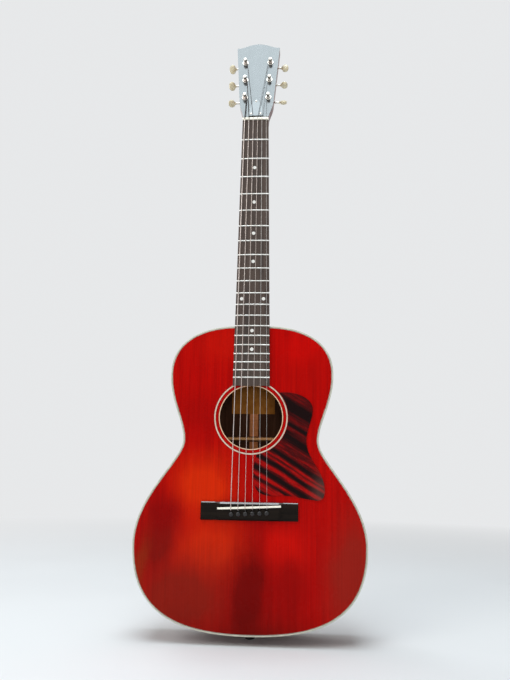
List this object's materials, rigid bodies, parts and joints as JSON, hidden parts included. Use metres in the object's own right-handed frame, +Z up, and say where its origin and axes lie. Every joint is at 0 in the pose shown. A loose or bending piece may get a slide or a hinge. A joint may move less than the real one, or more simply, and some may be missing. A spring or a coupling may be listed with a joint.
{
  "type": "acoustic guitar",
  "caption": "Small-bodied flat-top acoustic guitar with geared tuners, pinned bridge, pickguard and strung neck, held upright at the nut.",
  "frame": {"origin": "middle of the nut line on the soundboard's front plane, the height at which a wall hanger's yoke holds the neck under the head", "axes": "+X towards the treble side, -Y out of the front, +Z up the neck"},
  "size_m": [0.3558, 0.1194, 0.9933],
  "materials": {
    "cherry_spruce": "gloss",
    "cherry_mahogany": "gloss",
    "raw_spruce": "matte",
    "raw_mahogany": "matte",
    "rosewood": "satin",
    "ivoroid": "gloss",
    "bone": "satin",
    "ebony": "satin",
    "tortoise_plastic": "gloss",
    "black_lacquer": "gloss",
    "cream_plastic": "gloss",
    "nickel": "satin",
    "steel": "satin",
    "bronze": "satin"
  },
  "bodies": {
    "guitar": {"soundboard": "cherry_spruce", "back_plate": "cherry_mahogany", "bass_side": "cherry_mahogany", "treble_side": "cherry_mahogany", "neck_block": "raw_mahogany", "tail_block": "raw_mahogany", "top_lining_bass": "raw_mahogany", "top_lining_treble": "raw_mahogany", "back_lining_bass": "raw_mahogany", "back_lining_treble": "raw_mahogany", "x_brace": "raw_spruce", "tone_bar": "raw_spruce", "upper_transverse_brace": "raw_spruce", "bridge_plate": "raw_mahogany", "back_brace_1": "raw_spruce", "back_brace_2": "raw_spruce", "back_brace_3": "raw_spruce", "back_brace_4": "raw_spruce", "top_binding": "ivoroid", "back_binding": "ivoroid", "rosette_ring": "ivoroid", "soundhole_binding": "ivoroid", "pickguard": "tortoise_plastic", "bridge": "ebony", "saddle": "bone", "neck": "cherry_mahogany", "fretboard": "rosewood", "nut": "bone", "head_overlay": "black_lacquer", "truss_rod": "steel", "truss_rod_cover": "black_lacquer", "heel_cap": "ivoroid", "end_pin": "ebony", "tuner_plate_bass": "nickel", "tuner_plate_treble": "nickel", "string_1": "steel", "string_2": "steel", "string_3": "bronze", "string_4": "bronze", "string_5": "bronze", "string_6": "bronze"},
    "rod_nut": {"truss_rod_nut": "steel"},
    "post_1": {"tuner_post_1": "nickel"},
    "key_1": {"tuner_key_1": "cream_plastic"},
    "pin_1": {"bridge_pin_1": "ebony"},
    "post_2": {"tuner_post_2": "nickel"},
    "key_2": {"tuner_key_2": "cream_plastic"},
    "pin_2": {"bridge_pin_2": "ebony"},
    "post_3": {"tuner_post_3": "nickel"},
    "key_3": {"tuner_key_3": "cream_plastic"},
    "pin_3": {"bridge_pin_3": "ebony"},
    "post_4": {"tuner_post_4": "nickel"},
    "key_4": {"tuner_key_4": "cream_plastic"},
    "pin_4": {"bridge_pin_4": "ebony"},
    "post_5": {"tuner_post_5": "nickel"},
    "key_5": {"tuner_key_5": "cream_plastic"},
    "pin_5": {"bridge_pin_5": "ebony"},
    "post_6": {"tuner_post_6": "nickel"},
    "key_6": {"tuner_key_6": "cream_plastic"},
    "pin_6": {"bridge_pin_6": "ebony"}
  },
  "joints": [
    {"name": "rod_nut_turn", "type": "hinge", "parent": "guitar", "child": "rod_nut", "pos_m": [0, 0.0053, 0.011], "axis": [0, 0, 1], "range_deg": [-360, 360]},
    {"name": "key_1_turn", "type": "hinge", "parent": "guitar", "child": "key_1", "pos_m": [0.02001, 0.03129, 0.05058], "axis": [0.9997, -0.0055, -0.022], "continuous": true},
    {"name": "post_1_turn", "type": "hinge", "parent": "guitar", "child": "post_1", "pos_m": [0.01982, 0.01038, 0.04693], "axis": [0, -0.9703, 0.2419], "continuous": true},
    {"name": "pin_1_pull", "type": "slide", "parent": "guitar", "child": "pin_1", "axis": [0, -1, 0], "range_m": [0, 0.03]},
    {"name": "key_2_turn", "type": "hinge", "parent": "guitar", "child": "key_2", "pos_m": [0.0209, 0.04069, 0.08832], "axis": [0.9997, -0.0055, -0.022], "continuous": true},
    {"name": "post_2_turn", "type": "hinge", "parent": "guitar", "child": "post_2", "pos_m": [0.0207, 0.01979, 0.08467], "axis": [0, -0.9703, 0.2419], "continuous": true},
    {"name": "pin_2_pull", "type": "slide", "parent": "guitar", "child": "pin_2", "axis": [0, -1, 0], "range_m": [0, 0.03]},
    {"name": "key_3_turn", "type": "hinge", "parent": "guitar", "child": "key_3", "pos_m": [0.02178, 0.0501, 0.12605], "axis": [0.9997, -0.0055, -0.022], "continuous": true},
    {"name": "post_3_turn", "type": "hinge", "parent": "guitar", "child": "post_3", "pos_m": [0.02158, 0.0292, 0.1224], "axis": [0, -0.9703, 0.2419], "continuous": true},
    {"name": "pin_3_pull", "type": "slide", "parent": "guitar", "child": "pin_3", "axis": [0, -1, 0], "range_m": [0, 0.03]},
    {"name": "key_4_turn", "type": "hinge", "parent": "guitar", "child": "key_4", "pos_m": [-0.02178, 0.0501, 0.12605], "axis": [-0.9997, -0.0055, -0.022], "continuous": true},
    {"name": "post_4_turn", "type": "hinge", "parent": "guitar", "child": "post_4", "pos_m": [-0.02158, 0.0292, 0.1224], "axis": [0, -0.9703, 0.2419], "continuous": true},
    {"name": "pin_4_pull", "type": "slide", "parent": "guitar", "child": "pin_4", "axis": [0, -1, 0], "range_m": [0, 0.03]},
    {"name": "key_5_turn", "type": "hinge", "parent": "guitar", "child": "key_5", "pos_m": [-0.0209, 0.04069, 0.08832], "axis": [-0.9997, -0.0055, -0.022], "continuous": true},
    {"name": "post_5_turn", "type": "hinge", "parent": "guitar", "child": "post_5", "pos_m": [-0.0207, 0.01979, 0.08467], "axis": [0, -0.9703, 0.2419], "continuous": true},
    {"name": "pin_5_pull", "type": "slide", "parent": "guitar", "child": "pin_5", "axis": [0, -1, 0], "range_m": [0, 0.03]},
    {"name": "key_6_turn", "type": "hinge", "parent": "guitar", "child": "key_6", "pos_m": [-0.02001, 0.03129, 0.05058], "axis": [-0.9997, -0.0055, -0.022], "continuous": true},
    {"name": "post_6_turn", "type": "hinge", "parent": "guitar", "child": "post_6", "pos_m": [-0.01982, 0.01038, 0.04693], "axis": [0, -0.9703, 0.2419], "continuous": true},
    {"name": "pin_6_pull", "type": "slide", "parent": "guitar", "child": "pin_6", "axis": [0, -1, 0], "range_m": [0, 0.03]}
  ],
  "couplings": [
    {"joint": "post_1_turn", "follows": "key_1_turn", "ratio": 0.071429},
    {"joint": "post_2_turn", "follows": "key_2_turn", "ratio": 0.071429},
    {"joint": "post_3_turn", "follows": "key_3_turn", "ratio": 0.071429},
    {"joint": "post_4_turn", "follows": "key_4_turn", "ratio": 0.071429},
    {"joint": "post_5_turn", "follows": "key_5_turn", "ratio": 0.071429},
    {"joint": "post_6_turn", "follows": "key_6_turn", "ratio": 0.071429}
  ]
}
